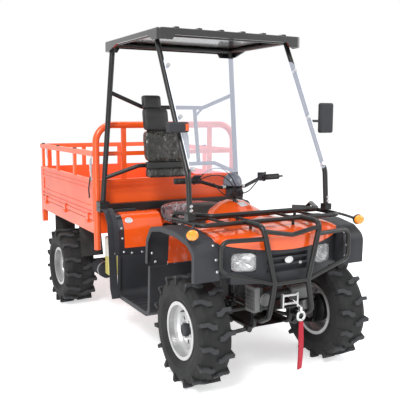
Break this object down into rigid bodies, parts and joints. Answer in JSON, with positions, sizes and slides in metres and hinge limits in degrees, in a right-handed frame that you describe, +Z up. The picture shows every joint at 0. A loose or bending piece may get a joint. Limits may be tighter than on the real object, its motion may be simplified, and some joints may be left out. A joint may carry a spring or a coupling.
{
  "type": "straddle seat utility quad with cargo bed and canopy",
  "caption": "Straddle-seat four-wheel farm utility vehicle with a canopy, windscreen, front winch and a tipping drop-side cargo bed.",
  "frame": {"origin": "centre of the bounding box on the ground under the tyres", "axes": "+Z up, -Y towards the front of the vehicle, +X towards the vehicle's left side"},
  "size_m": [1.421, 3.221, 2.064],
  "materials": {
    "tyre": "matt black rubber with dust in the tread",
    "wheel_silver": "satin silver",
    "black_steel": "satin black powder coat",
    "cast_metal": "cast grey",
    "winch_black": "fine textured black",
    "hook_steel": "zinc plated",
    "red_strap": "red webbing",
    "orange_plastic": "gloss orange",
    "black_plastic": "grained black",
    "lamp_clear": "clear lamp lens",
    "lamp_amber": "amber lens in a black shell",
    "seat_vinyl": "black vinyl",
    "roof_black": "satin black sheet",
    "screen_clear": "clear sheet",
    "bottle_white": "milky plastic",
    "bed_steel": "satin orange",
    "black_rubber": "matt sheet rubber"
  },
  "bodies": {
    "chassis": {"front_suspension": "black_steel", "rear_axle": "black_steel", "main_frame": "black_steel", "bed_rails": "black_steel", "side_brackets": "black_steel", "skid_plate": "black_steel", "engine_block": "cast_metal", "front_bumper": "black_steel", "front_rack": "black_steel", "winch": "winch_black", "winch_hook": "hook_steel", "winch_strap": "red_strap", "hood": "orange_plastic", "tank_cover": "orange_plastic", "front_flares": "black_plastic", "fender_panels": "orange_plastic", "footwells": "black_plastic", "front_fascia": "black_plastic", "headlamps": "lamp_clear", "signal_lamps": "lamp_amber", "saddle": "seat_vinyl", "backrest": "seat_vinyl", "canopy_frame": "black_steel", "canopy_roof": "roof_black", "windscreen": "screen_clear", "windscreen_clamps": "black_plastic", "mirrors": "black_plastic", "air_canister": "black_plastic", "washer_bottle": "bottle_white"},
    "steering": {"handlebar": "black_steel", "instrument_pod": "black_plastic"},
    "left_knuckle": {"left_knuckle": "black_steel"},
    "right_knuckle": {"right_knuckle": "black_steel"},
    "tie_rods": {"tie_rods": "black_steel"},
    "bed": {"bed_frame": "bed_steel", "bed_floor": "bed_steel", "bed_headboard": "bed_steel", "mud_flaps": "black_rubber"},
    "left_gate": {"left_gate": "bed_steel"},
    "right_gate": {"right_gate": "bed_steel"},
    "tailgate": {"tailgate": "bed_steel"},
    "front_left_wheel": {"front_left_tyre": "tyre", "front_left_rim": "wheel_silver"},
    "front_right_wheel": {"front_right_tyre": "tyre", "front_right_rim": "wheel_silver"},
    "rear_left_wheel": {"rear_left_tyre": "tyre", "rear_left_rim": "wheel_silver"},
    "rear_right_wheel": {"rear_right_tyre": "tyre", "rear_right_rim": "wheel_silver"}
  },
  "joints": [
    {"name": "bar_steer", "type": "hinge", "parent": "chassis", "child": "steering", "pos_m": [0, -0.9444, 1], "axis": [0, 0.4027, 0.9153], "range_deg": [-36, 36]},
    {"name": "left_kingpin", "type": "hinge", "parent": "chassis", "child": "left_knuckle", "pos_m": [0.395, -1.268, 0.3175], "axis": [0, 0, 1], "range_deg": [-28.8, 28.8]},
    {"name": "right_kingpin", "type": "hinge", "parent": "chassis", "child": "right_knuckle", "pos_m": [-0.395, -1.268, 0.3175], "axis": [0, 0, 1], "range_deg": [-28.8, 28.8]},
    {"name": "tie_rod_slide", "type": "slide", "parent": "chassis", "child": "tie_rods", "axis": [-1, 0, 0], "range_m": [-0.048, 0.048]},
    {"name": "front_left_spin", "type": "hinge", "parent": "left_knuckle", "child": "front_left_wheel", "pos_m": [0.4735, -1.268, 0.3175], "axis": [1, 0, 0], "continuous": true},
    {"name": "front_right_spin", "type": "hinge", "parent": "right_knuckle", "child": "front_right_wheel", "pos_m": [-0.4735, -1.268, 0.3175], "axis": [1, 0, 0], "continuous": true},
    {"name": "rear_left_spin", "type": "hinge", "parent": "chassis", "child": "rear_left_wheel", "pos_m": [0.588, 0.705, 0.3], "axis": [1, 0, 0], "continuous": true},
    {"name": "rear_right_spin", "type": "hinge", "parent": "chassis", "child": "rear_right_wheel", "pos_m": [-0.588, 0.705, 0.3], "axis": [1, 0, 0], "continuous": true},
    {"name": "bed_tip", "type": "hinge", "parent": "chassis", "child": "bed", "pos_m": [0, 1.273, 0.6], "axis": [-1, 0, 0], "range_deg": [0, 45]},
    {"name": "left_gate_hinge", "type": "hinge", "parent": "bed", "child": "left_gate", "pos_m": [0.609, 0.8, 0.745], "axis": [0, 1, 0], "range_deg": [0, 120]},
    {"name": "right_gate_hinge", "type": "hinge", "parent": "bed", "child": "right_gate", "pos_m": [-0.609, 0.8, 0.745], "axis": [0, -1, 0], "range_deg": [0, 120]},
    {"name": "tailgate_hinge", "type": "hinge", "parent": "bed", "child": "tailgate", "pos_m": [0, 1.582, 0.745], "axis": [-1, 0, 0], "range_deg": [0, 90]}
  ],
  "couplings": [
    {"joint": "left_kingpin", "follows": "bar_steer", "ratio": 0.8},
    {"joint": "right_kingpin", "follows": "bar_steer", "ratio": 0.8},
    {"joint": "tie_rod_slide", "follows": "bar_steer", "m_per_rad": 0.07296}
  ]
}
